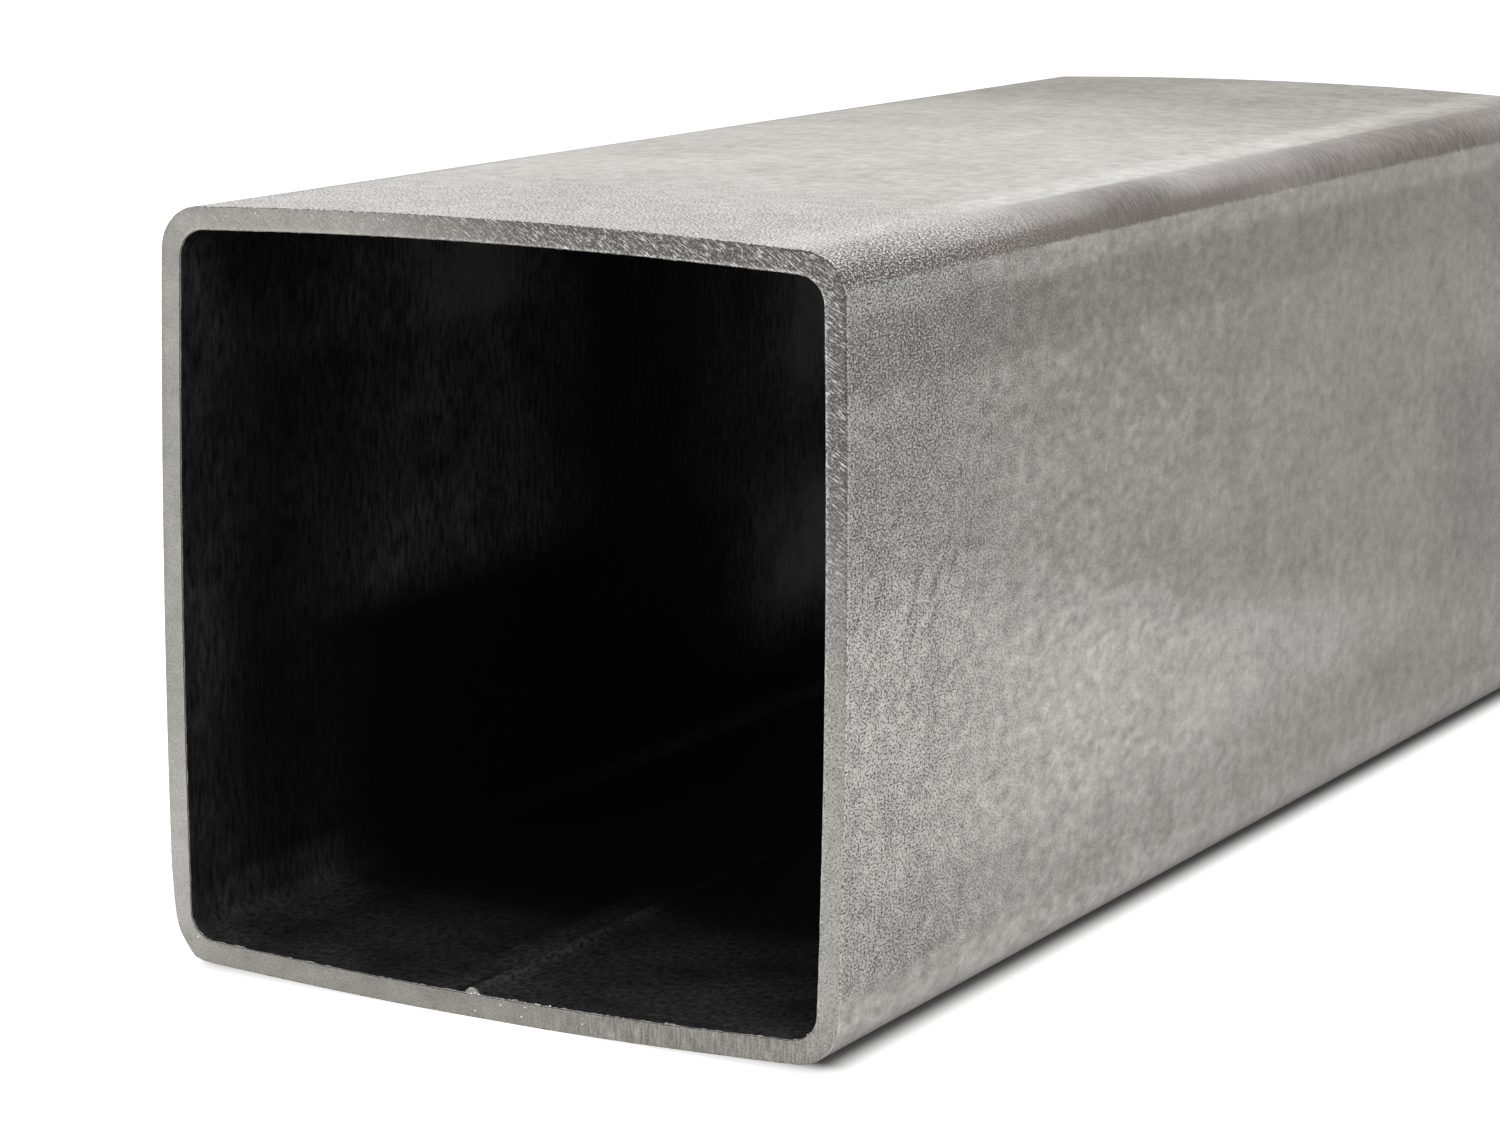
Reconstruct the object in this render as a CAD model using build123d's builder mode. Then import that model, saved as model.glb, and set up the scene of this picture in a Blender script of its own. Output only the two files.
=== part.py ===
"""Square steel tube, cold formed from strip, seam welded and sawn to a short length.

It lies on its welded side along Y, with X across it and Z up. The origin is under its middle, on the floor.
All sizes are in millimetres.
"""

from build123d import *
import os

# The section is a nominal 100 mm square of 3 mm steel.
side = 99.0            # between the sharp corners, before the flats bow and the corners are rounded
wall = 3.0
corner_radius = 6.0    # outside
bend_thickening = 0.7  # the bend is thicker than the flats, so its inside corner is rounder by this
length = 260.0         # between the sawn ends

# Each flat bows outwards, most at the middle of its width.
top_bow = 1.3
flank_bow = 0.75
base_bow = 1.5

# The seam weld runs the whole length of the base.
seam_offset = -3.0     # across the base, from its middle
bead_width = 2.6       # what is left of the bead inside
bead_height = 1.1
planed_width = 14.0    # outside, the bead is planed off and leaves a flat strip to lie on

# The planed strip is a chord of the base's arc, and it lies on the floor.
base_arc_radius = ((side / 2) ** 2 + base_bow**2) / (2 * base_bow)
planed_depth = base_arc_radius - (base_arc_radius**2 - (planed_width / 2) ** 2) ** 0.5
base_z = base_bow - planed_depth       # height of the sharp lower corners
top_z = base_z + side
hollow_z = wall - planed_depth         # lowest line of the hollow
inside_radius = corner_radius - wall + bend_thickening


def bowed_square():
    """A square face whose four sides are shallow arcs, one for each flat."""
    with BuildSketch() as square:
        with BuildLine():
            SagittaArc((-side / 2, top_z), (side / 2, top_z), top_bow)
            SagittaArc((side / 2, top_z), (side / 2, base_z), flank_bow)
            SagittaArc((side / 2, base_z), (-side / 2, base_z), base_bow)
            SagittaArc((-side / 2, base_z), (-side / 2, top_z), flank_bow)
        make_face()
    return square.sketch


with BuildPart() as square_tube:
    with BuildSketch(Plane.XZ) as outside:
        add(bowed_square())
        fillet(outside.vertices(), radius=corner_radius)
    extrude(amount=length / 2, both=True)

    # The hollow is the same square, one wall smaller all round, with its own corner radius.
    with BuildSketch(Plane.XZ) as hollow:
        add(bowed_square())
        offset(amount=-wall, mode=Mode.REPLACE)
        fillet(hollow.vertices(), radius=inside_radius)
    extrude(amount=length / 2, both=True, mode=Mode.SUBTRACT)

    # The bead: a low round ridge, with its foot sunk in the wall.
    with BuildSketch(Plane.XZ.shift_origin((seam_offset, 0, hollow_z))):
        with BuildLine():
            ThreePointArc((-bead_width / 2, 0), (0, bead_height), (bead_width / 2, 0))
            Polyline(
                (bead_width / 2, 0),
                (bead_width / 2, -wall / 2),
                (-bead_width / 2, -wall / 2),
                (-bead_width / 2, 0),
            )
        make_face()
    extrude(amount=length / 2, both=True)

    # The planed strip: the lowest part of the bow is cut away.
    split(bisect_by=Plane.XY, keep=Keep.TOP)

square_tube.part.label = "square_tube"

os.makedirs("parts", exist_ok=True)
export_step(square_tube.part, "parts/square_tube.step")
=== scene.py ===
import math

import bpy
import numpy as np
from mathutils import Matrix, Vector


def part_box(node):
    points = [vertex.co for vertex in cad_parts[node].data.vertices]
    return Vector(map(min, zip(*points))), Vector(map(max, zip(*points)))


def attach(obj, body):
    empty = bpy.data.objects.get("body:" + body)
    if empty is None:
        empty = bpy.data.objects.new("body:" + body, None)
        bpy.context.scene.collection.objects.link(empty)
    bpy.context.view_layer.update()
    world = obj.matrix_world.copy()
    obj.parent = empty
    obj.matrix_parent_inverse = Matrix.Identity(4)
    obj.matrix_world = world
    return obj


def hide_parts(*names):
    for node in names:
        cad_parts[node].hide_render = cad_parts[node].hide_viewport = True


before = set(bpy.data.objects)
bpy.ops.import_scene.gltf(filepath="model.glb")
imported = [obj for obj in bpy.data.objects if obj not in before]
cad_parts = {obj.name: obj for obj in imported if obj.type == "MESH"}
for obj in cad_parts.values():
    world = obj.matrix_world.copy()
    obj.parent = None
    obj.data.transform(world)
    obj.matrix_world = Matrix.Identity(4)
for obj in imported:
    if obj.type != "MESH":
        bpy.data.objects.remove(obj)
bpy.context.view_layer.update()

lowCorner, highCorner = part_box("square_tube")
mm = 0.001                       # everything below is worked out in millimetres
halfLength = (highCorner[1] - lowCorner[1]) / mm / 2
sharpAngle = math.radians(35)    # an edge that turns further than this shows as a crease
allAlong = (-999, 999, 1)      # a window that is open all along


def ragged(travel, spacing, total, seed):
    # Random heights from 0 to 1 stand at even steps round a closed line, and straight lines join them.
    steps = max(4, int(round(total / spacing)))
    heights = np.random.default_rng(seed).random(steps)
    knots = np.arange(steps + 1) * total / steps
    return np.interp(np.mod(travel, total), knots, np.append(heights, heights[0]))


def ripples(u, v, shortest, longest, count, seed):
    # A sum of sine waves, each with its own direction, length and start; a longer wave is a higher one.
    dice = np.random.default_rng(seed)
    total = np.zeros(np.broadcast(u, v).shape)
    weight = 0.0
    for wave in range(count):
        length = shortest * (longest / shortest) ** dice.random()
        turn = dice.random() * 2 * math.pi
        start = dice.random() * 2 * math.pi
        along = u * math.cos(turn) + v * math.sin(turn)
        total = total + length * np.sin(2 * math.pi * along / length + start)
        weight += length
    return total / weight


def window(value, low, high, soft):
    # 1 between low and high, with an S-curve down to 0 over the soft distance outside each.
    up = np.clip((value - low + soft) / soft, 0, 1)
    down = np.clip((high + soft - value) / soft, 0, 1)
    return up * up * (3 - 2 * up) * down * down * (3 - 2 * down)


def patches(rows, along, across):
    # The sum of soft-edged patches. A row is a strength, and its window along the tube and across it.
    total = 0.0
    for strength, alongEdges, acrossEdges in rows:
        total = total + strength * window(along, *alongEdges) * window(across, *acrossEdges)
    return total


def intoScene(name, data):
    thing = bpy.data.objects.new(name, data)
    bpy.context.scene.collection.objects.link(thing)
    return thing


def plainPiece(name, points, faces):
    # The points are in millimetres.
    mesh = bpy.data.meshes.new(name)
    mesh.from_pydata((points.reshape(-1, 3) * mm).tolist(), [], faces)
    return intoScene(name, mesh)


def gridPiece(name, x, y, z, maps, closedRows=False, capped=False, marks=None, faceKind=None):
    # The surface is a grid of points, one row after another. Each row is a closed ring, and the rows
    # close on each other too, or each end ring is filled by one face. Its map is in millimetres.
    rows, columns = x.shape
    row = np.arange(rows if closedRows else rows - 1)[:, None]
    column = np.arange(columns)[None, :]
    nextRow, nextColumn = (row + 1) % rows, (column + 1) % columns
    corners = np.stack([row * columns + column, nextRow * columns + column,
                        nextRow * columns + nextColumn, row * columns + nextColumn], axis=-1)
    faces = corners.reshape(-1, 4).tolist()
    if capped:
        faces.append(list(range(columns)))
        faces.append(list(range((rows - 1) * columns, rows * columns))[::-1])
    piece = plainPiece(name, np.stack([x, y, z], axis=-1), faces)
    mesh = piece.data

    around, along = maps
    u = np.stack([around[column], around[column], around[column + 1], around[column + 1]], axis=-1)
    both = np.stack(np.broadcast_arrays(u, along.ravel()[corners]), axis=-1).reshape(-1, 2)
    if capped:
        both = np.concatenate([both, np.zeros((2 * columns, 2))])
    layer = mesh.uv_layers.new(name="skinMap")
    layer.uv.foreach_set("vector", both.astype(np.float32).ravel())

    for label, values in (marks or {}).items():
        attribute = mesh.attributes.new(label, "FLOAT", "POINT")
        attribute.data.foreach_set("value", values.astype(np.float32).ravel())
    if faceKind is not None:
        kinds = np.repeat(faceKind, columns)
        if capped:
            kinds = np.append(kinds, (faceKind[0], faceKind[-1]))
        mesh.polygons.foreach_set("material_index", kinds.astype(np.int32))
    mesh.shade_smooth()
    mesh.set_sharp_from_angle(angle=sharpAngle)
    return piece


def finishPiece(piece, *materials):
    # Gives the piece its finish and its place on the tube, and reports it.
    for material in materials:
        piece.data.materials.append(material)
    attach(piece, "root")
    print(piece.name, "made with", len(piece.data.polygons), "faces")
    return piece


section = {
    "side": 99.0,
    "wall": 3.0,
    "cornerRadius": 6.0,
    "bendThickening": 0.7,       # the inside corners are rounder than an even wall would make them
    "topBow": 1.3,
    "flankBow": 0.75,
    "baseBow": 1.5,
    "planedWidth": 14.0,
    "seamOffset": -3.0,
    "flatStep": 0.45,            # distance between points on the flats
    "cornerStep": 0.3,
}


def flatCircle(middle, outward, bow):
    # A flat is an arc through two sharp corners; its circle's centre lies inwards of the chord's middle.
    radius = ((section["side"] / 2) ** 2 + bow**2) / (2 * bow)
    return np.array(middle) + np.array(outward) * (bow - radius), radius


def cornerCentre(one, two, nearTo, inset):
    # The corner's circle touches both flats from inside, so its centre is where two smaller ones cross.
    (centreA, radiusA), (centreB, radiusB) = one, two
    radiusA, radiusB = radiusA - inset, radiusB - inset
    apart = np.linalg.norm(centreB - centreA)
    along = (radiusA**2 - radiusB**2 + apart**2) / (2 * apart)
    aside = math.sqrt(radiusA**2 - along**2)
    way = (centreB - centreA) / apart
    across = np.array([-way[1], way[0]])
    both = [centreA + way * along + across * aside, centreA + way * along - across * aside]
    return min(both, key=lambda point: np.linalg.norm(point - np.array(nearTo)))


def angleNear(vector, usual):
    # The vector's angle, with whole turns added until it is within half a turn of the usual one.
    angle = math.atan2(vector[1], vector[0])
    return angle + 2 * math.pi * round((usual - angle) / (2 * math.pi))


def sectionLine():
    # The outline is nine arcs in a row. A point is its arc's centre plus the radius along the outward
    # direction, whose angle grows all the way round, from the weld to the right and back to it.
    half = section["side"] / 2
    baseRadius = flatCircle((0, 0), (0, -1), section["baseBow"])[1]
    planedDepth = baseRadius - math.sqrt(baseRadius**2 - (section["planedWidth"] / 2) ** 2)
    baseHeight = section["baseBow"] - planedDepth
    flats = [
        flatCircle((0, baseHeight), (0, -1), section["baseBow"]),
        flatCircle((half, baseHeight + half), (1, 0), section["flankBow"]),
        flatCircle((0, baseHeight + 2 * half), (0, 1), section["topBow"]),
        flatCircle((-half, baseHeight + half), (-1, 0), section["flankBow"]),
    ]
    sharp = [(half, baseHeight), (half, baseHeight + 2 * half),
             (-half, baseHeight + 2 * half), (-half, baseHeight)]
    insideRadius = section["cornerRadius"] - section["wall"] + section["bendThickening"]
    pairs = [(flats[n], flats[(n + 1) % 4], sharp[n]) for n in range(4)]
    corners = [cornerCentre(*pair, section["cornerRadius"]) for pair in pairs]
    insideCorners = np.array([cornerCentre(*pair, section["wall"] + insideRadius) for pair in pairs])

    seamAngle = -math.pi / 2 + math.asin(section["seamOffset"] / flats[0][1])
    arcs = []
    start = seamAngle
    for n in range(4):
        diagonal = math.radians(90 * n - 45)
        toFlat = angleNear(corners[n] - flats[n][0], diagonal)
        toNext = angleNear(corners[n] - flats[(n + 1) % 4][0], diagonal)
        arcs.append((*flats[n], start, toFlat, section["flatStep"], -1))
        arcs.append((corners[n], section["cornerRadius"], toFlat, toNext, section["cornerStep"], 1))
        start = toNext
    arcs.append((*flats[0], start, seamAngle + 2 * math.pi, section["flatStep"], -1))

    parts = []
    for centre, radius, fromAngle, toAngle, step, bent in arcs:
        size = radius * (toAngle - fromAngle)
        count = int(math.ceil(size / step))
        angle = np.linspace(fromAngle, toAngle, count, endpoint=False)
        done = radius * (angle - fromAngle)
        intoBend = np.minimum(done, size - done) * bent                # less than 0 on a flat
        parts.append(np.stack(np.broadcast_arrays(*centre, radius, angle, size / count, intoBend)))
    centreX, centreZ, radius, angle, step, intoBend = np.concatenate(parts, axis=1)
    travel = np.concatenate([[0.0], np.cumsum(step)])

    # The way in from a point near a corner meets the inside corner's own circle: the reach r from the
    # arc's centre solves |centre + r * outward - corner| = insideRadius. Elsewhere the wall is even.
    outward = np.stack([np.cos(angle), np.sin(angle)], axis=1)
    centre = np.stack([centreX, centreZ], axis=1)
    skinPoint = centre + radius[:, None] * outward
    gaps = np.linalg.norm(skinPoint[:, None] - insideCorners[None], axis=2)
    offset = centre - insideCorners[np.argmin(gaps, axis=1)]
    along = (offset * outward).sum(axis=1)
    square = along**2 - (offset**2).sum(axis=1) + insideRadius**2
    bendWall = radius + along - np.sqrt(np.maximum(square, 0))
    inBend = (intoBend > -section["bendThickening"]) & (gaps.min(axis=1) < 2 * section["cornerRadius"])
    wall = np.where(inBend, bendWall, section["wall"])
    return {"centreX": centreX, "centreZ": centreZ, "radius": radius, "angle": angle,
            "travel": travel, "total": travel[-1], "wall": wall}


outline = sectionLine()


def onSection(depth):
    # A point at a depth under the skin, straight in from the outline.
    reach = outline["radius"] - depth
    x = outline["centreX"] + reach * np.cos(outline["angle"])
    z = outline["centreZ"] + reach * np.sin(outline["angle"])
    return x, z


def addNode(tree, kind, values=None, **settings):
    # A node with its settings, and its sockets fed by a value or by another node's output.
    node = tree.nodes.new("ShaderNode" + kind)
    for name, value in settings.items():
        setattr(node, name, value)
    for socket, value in (values or {}).items():
        if isinstance(value, bpy.types.NodeSocket):
            tree.links.new(value, node.inputs[socket])
        else:
            node.inputs[socket].default_value = value
    return node


def math2(tree, operation, a, b=0.0, clamp=False):
    node = addNode(tree, "Math", {0: a, 1: b}, operation=operation, use_clamp=clamp)
    return node.outputs[0]


def times(tree, a, b, clamp=False):
    return math2(tree, "MULTIPLY", a, b, clamp)


def plus(tree, a, b):
    return math2(tree, "ADD", a, b)


def vector2(tree, operation, a, b=(0, 0, 0), scale=1.0):
    # Socket 3 is the scale, which only one operation reads.
    return addNode(tree, "VectorMath", {0: a, 1: b, 3: scale}, operation=operation).outputs[0]


def spread(tree, value, fromLow, fromHigh, toLow=0.0, toHigh=1.0, smooth=False):
    # Takes a range of values to another range, and holds it at the ends.
    node = addNode(tree, "MapRange", {"Value": value, "From Min": fromLow, "From Max": fromHigh,
                                      "To Min": toLow, "To Max": toHigh},
                   interpolation_type="SMOOTHSTEP" if smooth else "LINEAR")
    return node.outputs["Result"]


def blend(tree, amount, one, two, way="MIX"):
    # The first colour goes over to the second as the amount goes from 0 to 1.
    node = addNode(tree, "Mix", data_type="RGBA", blend_type=way)
    for socket, value in ((0, amount), (6, one), (7, two)):
        if isinstance(value, bpy.types.NodeSocket):
            tree.links.new(value, node.inputs[socket])
        elif socket == 0:
            node.inputs[socket].default_value = value
        else:
            node.inputs[socket].default_value = (*value, 1.0)
    return node.outputs[2]


def shaded(tree, colour, amount):
    # The colour, lighter or darker by an amount that changes over the surface.
    grey = addNode(tree, "CombineColor", {0: amount, 1: amount, 2: amount}).outputs[0]
    return blend(tree, 1.0, colour, grey, "MULTIPLY")


def stretched(tree, vector, size, moved=(0, 0, 0)):
    # Divides the coordinates by sizes in millimetres, so that a pattern repeats about once in each.
    scale = [1 / length for length in (*size, 1)[:3]]
    return addNode(tree, "Mapping", {"Vector": vector, "Location": moved, "Scale": scale}).outputs[0]


def noise(tree, vector, size=None, detail=2.0, roughness=0.5, moved=(0, 0, 0)):
    # Soft blots of about this size in millimetres. Detail adds finer ones, as strong as the roughness.
    place = stretched(tree, vector, size, moved) if size else vector
    node = addNode(tree, "TexNoise", {"Vector": place, "Scale": 1.0, "Detail": detail,
                                      "Roughness": roughness})
    return node.outputs["Fac"]


def mark(tree, name):
    # One of the values that makeTubeWall or makeWeldBead gives to every point.
    return addNode(tree, "Attribute", attribute_name=name).outputs["Fac"]


def inMillimetres(tree):
    return vector2(tree, "SCALE", addNode(tree, "TexCoord").outputs["Object"], scale=1 / mm)


def onSkinMap(tree):
    # Millimetres round the section and along the tube.
    return addNode(tree, "UVMap", uv_map="skinMap").outputs[0]


def newGroup(name, inputs, outputs):
    # inputs and outputs are lists of name, socket kind and, for an input, its usual value.
    group = bpy.data.node_groups.new(name, "ShaderNodeTree")
    for label, kind, usual in inputs:
        socket = group.interface.new_socket(label, in_out="INPUT", socket_type="NodeSocket" + kind)
        if usual is not None:
            socket.default_value = usual
    for label, kind in outputs:
        group.interface.new_socket(label, in_out="OUTPUT", socket_type="NodeSocket" + kind)
    start = group.nodes.new("NodeGroupInput").outputs
    end = group.nodes.new("NodeGroupOutput").inputs
    return group, start, end


def placeGroup(tree, group, vector, values):
    # A node group in a material, with its vector and its own values.
    return addNode(tree, "Group", {"Vector": vector, **values}, node_tree=group).outputs


def speckleGroup():
    # One noise is cut twice: its low places are dark grains and its high places are bright ones.
    # A share of 0 leaves hardly any grains, and at 1 they run together.
    group, given, out = newGroup(
        "steelSpeckle",
        [("Vector", "Vector", None), ("Grain", "Float", 0.5), ("Dark Share", "Float", 0.4),
         ("Bright Share", "Float", 0.4), ("Hardness", "Float", 8.0)],
        [("Dark", "Float"), ("Bright", "Float"), ("Height", "Float")])
    scaled = vector2(group, "SCALE", given["Vector"], scale=math2(group, "DIVIDE", 1.0, given["Grain"]))
    grain = noise(group, scaled, detail=1.6, roughness=0.55)
    darkEdge = spread(group, given["Dark Share"], 0.0, 1.0, 0.28, 0.62)
    brightEdge = spread(group, given["Bright Share"], 0.0, 1.0, 0.74, 0.42)
    dark = times(group, math2(group, "SUBTRACT", darkEdge, grain), given["Hardness"], clamp=True)
    bright = times(group, math2(group, "SUBTRACT", grain, brightEdge), given["Hardness"], clamp=True)
    group.links.new(dark, out["Dark"])
    group.links.new(bright, out["Bright"])
    group.links.new(grain, out["Height"])
    return group


def strokeGroup():
    # Strokes lie on arcs about a centre in the X-Z plane: the noise is short across the arcs and long
    # along them. Radius and turn are its two coordinates, and each arc wanders a little.
    group, given, out = newGroup(
        "arcStrokes",
        [("Vector", "Vector", None), ("Centre", "Vector", (0.0, 0.0, 0.0)),
         ("Spacing", "Float", 0.5), ("Length", "Float", 4.0), ("Radius", "Float", 100.0)],
        [("Strokes", "Float"), ("Glints", "Float")])
    off = vector2(group, "SUBTRACT", given["Vector"], given["Centre"])
    x, _, z = addNode(group, "SeparateXYZ", {0: off}).outputs
    across = math2(group, "SQRT", plus(group, times(group, x, x), times(group, z, z)))
    turn = math2(group, "ARCTAN2", z, x)
    along = math2(group, "DIVIDE", times(group, turn, given["Radius"]), given["Length"])
    wander = noise(group, given["Vector"], (6, 6, 6), detail=1.0)
    bent = plus(group, across, times(group, wander, 0.8))           # by up to 0.8 mm
    lanes = math2(group, "DIVIDE", bent, given["Spacing"])
    place = addNode(group, "CombineXYZ", {0: lanes, 1: along, 2: 0.0}).outputs[0]
    strokes = noise(group, place, detail=0.6, roughness=0.5)
    finer = vector2(group, "MULTIPLY", place, (1.6, 1.3, 1.0))      # glints are shorter, and elsewhere
    glints = noise(group, vector2(group, "ADD", finer, (31.0, 17.0, 5.0)), detail=0.0)
    group.links.new(strokes, out["Strokes"])
    group.links.new(spread(group, glints, 0.70, 0.80), out["Glints"])
    return group


def newMaterial(name):
    material = bpy.data.materials.new(name)
    material.use_nodes = True
    return material, material.node_tree, material.node_tree.nodes["Principled BSDF"]


def feedShader(tree, shader, colour, rough, metal):
    # Colour and roughness change over the surface, and the metal number is the same all over.
    tree.links.new(colour, shader.inputs["Base Color"])
    tree.links.new(rough, shader.inputs["Roughness"])
    shader.inputs["Metallic"].default_value = metal


def addRelief(tree, shader, height, strength, depth):
    bump = addNode(tree, "Bump", {"Strength": strength, "Distance": depth * mm, "Height": height})
    tree.links.new(bump.outputs[0], shader.inputs["Normal"])


speckle = speckleGroup()
arcStrokes = strokeGroup()
print("shader groups made")


millSkin = {
    "plain": (0.315, 0.303, 0.285),
    "shaded": (0.322, 0.302, 0.274),      # a darker tone is also a warmer one
    "dark": (0.050, 0.047, 0.043),
    "bright": (0.62, 0.61, 0.59),
    # the band's light tone, partly a painted highlight along the corners
    "bandLight": (0.395, 0.368, 0.350),
    "bandBrown": (0.130, 0.101, 0.088),
    "bandStain": (0.088, 0.072, 0.063),
    "bandCover": 0.94,
    # A pattern is its size round the section and along the tube, its detail, roughness and shift.
    "clouds": ((24, 34), 3.0, 0.5),
    "patchy": ((7.0, 8.0), 2.0, 0.55, (1, 7, 0)),
    "mottle": ((2.1, 3.0), 3.0, 0.65, (5, 2, 0)),
    "toneShares": (0.22, 0.28, 0.50),     # of the three above
    "flecks": ((1.7, 3.4), 3.0, 0.65, (2, 9, 0)),
    "fleckDepths": (0.27, 0.03),          # by the near end, and from the middle on
    "borderJags": ((1.0, 1.6), 3.0, 0.6),
    "brushed": ((3.2, 0.75), 2.0, 0.6),
    "brushSlant": -24,           # degrees
    "blots": ((9, 14), 2.5, 0.5, (3, 1, 0)),
    "grainStretch": (1.0, 1.9),
    "grain": {"Grain": 0.25, "Bright Share": 0.70, "Hardness": 5.5},
    "rubs": {"Centre": (-165.0, 0.0, 92.0), "Spacing": 1.5, "Length": 6.0, "Radius": 60.0},
    "rubDepth": 0.42,
    "pitSpacing": (9.0, 12.0),
    "roughness": 0.42,
    "roughnessSwing": 0.06,
    "dullRoughness": 0.36,
    "metal": 0.9,
}


def makeMillSkin():
    # Rolled skin. Clouds, mottle, flecks and grains change the tone of the flats, and the shade mark adds
    # painted light and shade. The upper corners carry a burnished band with a brown foot, brushed across,
    # and stained in places; the band's light tone is partly a painted highlight along the corners.
    look = millSkin
    material, tree, shader = newMaterial("millSkin")
    place = onSkinMap(tree)
    shade, grainy, stain = mark(tree, "shade"), mark(tree, "grainy"), mark(tree, "stain")
    lean = mark(tree, "lean")             # 1 on top, 0 on the sides, -1 underneath

    patterns = ("clouds", "patchy", "mottle")
    clouds, patchy, mottle = (times(tree, noise(tree, place, *look[name]), share)
                              for name, share in zip(patterns, look["toneShares"]))
    tone = plus(tree, clouds, plus(tree, patchy, mottle))
    amount = times(tree, spread(tree, tone, 0.34, 0.66, 0.76, 1.24), shade)
    colour = blend(tree, spread(tree, amount, 0.80, 1.20), look["shaded"], look["plain"])
    colour = shaded(tree, colour, amount)

    _, y, z = addNode(tree, "SeparateXYZ", {0: inMillimetres(tree)}).outputs
    fleckDepth = times(tree, spread(tree, y, -65.0, 45.0, *look["fleckDepths"]),
                       spread(tree, math2(tree, "ABSOLUTE", lean), 0.2, 0.9, 1.0, 0.45))
    flecks = spread(tree, noise(tree, place, *look["flecks"]), 0.3, 0.7, -1.0, 1.0)
    flecks = times(tree, flecks, fleckDepth)
    colour = shaded(tree, colour, plus(tree, flecks, 1.0))

    flankPlace = addNode(tree, "CombineXYZ", {0: y, 1: 0.0, 2: z}).outputs[0]
    rubs = placeGroup(tree, arcStrokes, flankPlace, look["rubs"])
    rubbed = times(tree, spread(tree, rubs["Strokes"], 0.55, 0.68), mark(tree, "rubbed"))
    colour = blend(tree, times(tree, rubbed, look["rubDepth"]), colour, look["dark"])

    pits = addNode(tree, "TexVoronoi", {"Vector": stretched(tree, place, look["pitSpacing"]),
                                        "Scale": 1.0}, feature="F1").outputs["Distance"]
    pitted = times(tree, spread(tree, pits, 0.030, 0.055, 0.85, 0.0),
                   spread(tree, grainy, 0.15, 0.70, 0.25, 1.0))
    colour = blend(tree, pitted, colour, look["dark"])

    # The band starts at a jagged line of equal lean, and its foot, just above that line, is brown.
    jags = math2(tree, "SUBTRACT", noise(tree, place, *look["borderJags"]), 0.5)
    jagged = times(tree, jags, spread(tree, grainy, 0.16, 0.80, 0.13, 0.30))
    border = plus(tree, lean, jagged)
    band = times(tree, spread(tree, border, 0.24, 0.31), mark(tree, "cornered"))
    slanted = addNode(tree, "VectorRotate", {"Vector": place, "Angle": math.radians(look["brushSlant"])},
                      rotation_type="Z_AXIS").outputs[0]
    brushed = noise(tree, slanted, *look["brushed"])
    blots = spread(tree, noise(tree, place, *look["blots"]), 0.55, 0.70, 0.0, 0.4)
    stained = math2(tree, "MAXIMUM", stain, blots)
    stained = times(tree, stained, spread(tree, brushed, 0.30, 0.60, 1.10, 0.78), clamp=True)
    bandColour = shaded(tree, look["bandLight"], spread(tree, lean, 0.85, 0.97, 1.0, 0.78))
    bandColour = blend(tree, stained, bandColour, look["bandStain"])
    foot = times(tree, spread(tree, border, 0.76, 0.50, smooth=True), mark(tree, "brownFoot"))
    bandColour = blend(tree, foot, bandColour, look["bandBrown"])
    strokeDepth = plus(tree, spread(tree, grainy, 0.16, 1.0, 0.05, 0.40), times(tree, stain, 0.12))
    strokeTone = times(tree, strokeDepth, spread(tree, brushed, 0.3, 0.7, -1.0, 1.0))
    bandColour = shaded(tree, bandColour, plus(tree, 1.0, strokeTone))
    colour = blend(tree, times(tree, band, look["bandCover"]), colour, bandColour)

    darkShare = spread(tree, tone, 0.36, 0.64, 0.80, 0.70)
    grains = placeGroup(tree, speckle, stretched(tree, place, look["grainStretch"]),
                        {**look["grain"], "Dark Share": darkShare})
    darkAmount = times(tree, grains["Dark"], spread(tree, grainy, 0.0, 1.6, 0.03, 1.6))
    brightAmount = times(tree, grains["Bright"], spread(tree, grainy, 0.0, 1.6, 0.02, 1.5))
    colour = blend(tree, darkAmount, colour, look["dark"])
    colour = blend(tree, brightAmount, colour, look["bright"])

    rough = spread(tree, tone, 0.35, 0.65, look["roughness"] + look["roughnessSwing"],
                   look["roughness"] - look["roughnessSwing"])
    rough = plus(tree, rough, times(tree, mark(tree, "dull"), look["dullRoughness"]))
    feedShader(tree, shader, colour, rough, look["metal"])
    addRelief(tree, shader, grains["Height"], strength=0.45, depth=0.15)
    return material


sawnSteel = {
    "smooth": (0.430, 0.414, 0.387),
    "under": (0.337, 0.320, 0.293),       # the lower rim is a little browner
    "rough": (0.145, 0.137, 0.122),
    "dark": (0.030, 0.029, 0.027),
    "stroke": (0.95, 0.94, 0.92),
    "glint": (1.0, 1.0, 0.99),
    "blade": {"Centre": (363.0, 0.0, 604.0), "Spacing": 0.16, "Length": 1.5, "Radius": 600.0},
    "grain": {"Grain": 0.27, "Dark Share": 0.55, "Bright Share": 0.55},
    "mottle": ((3.0, 3.0, 3.0), 3.0, 0.6),          # size along X, Y and Z, detail and roughness
    "combed": ((0.33, 1.0, 2.6), 2.0, 0.6),
    "chatter": ((0.9, 1.0, 0.5), 1.5, 0.6),
    "roughness": 0.46,
    "glintRoughness": 0.25,
    "metal": 0.9,
}


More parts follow.
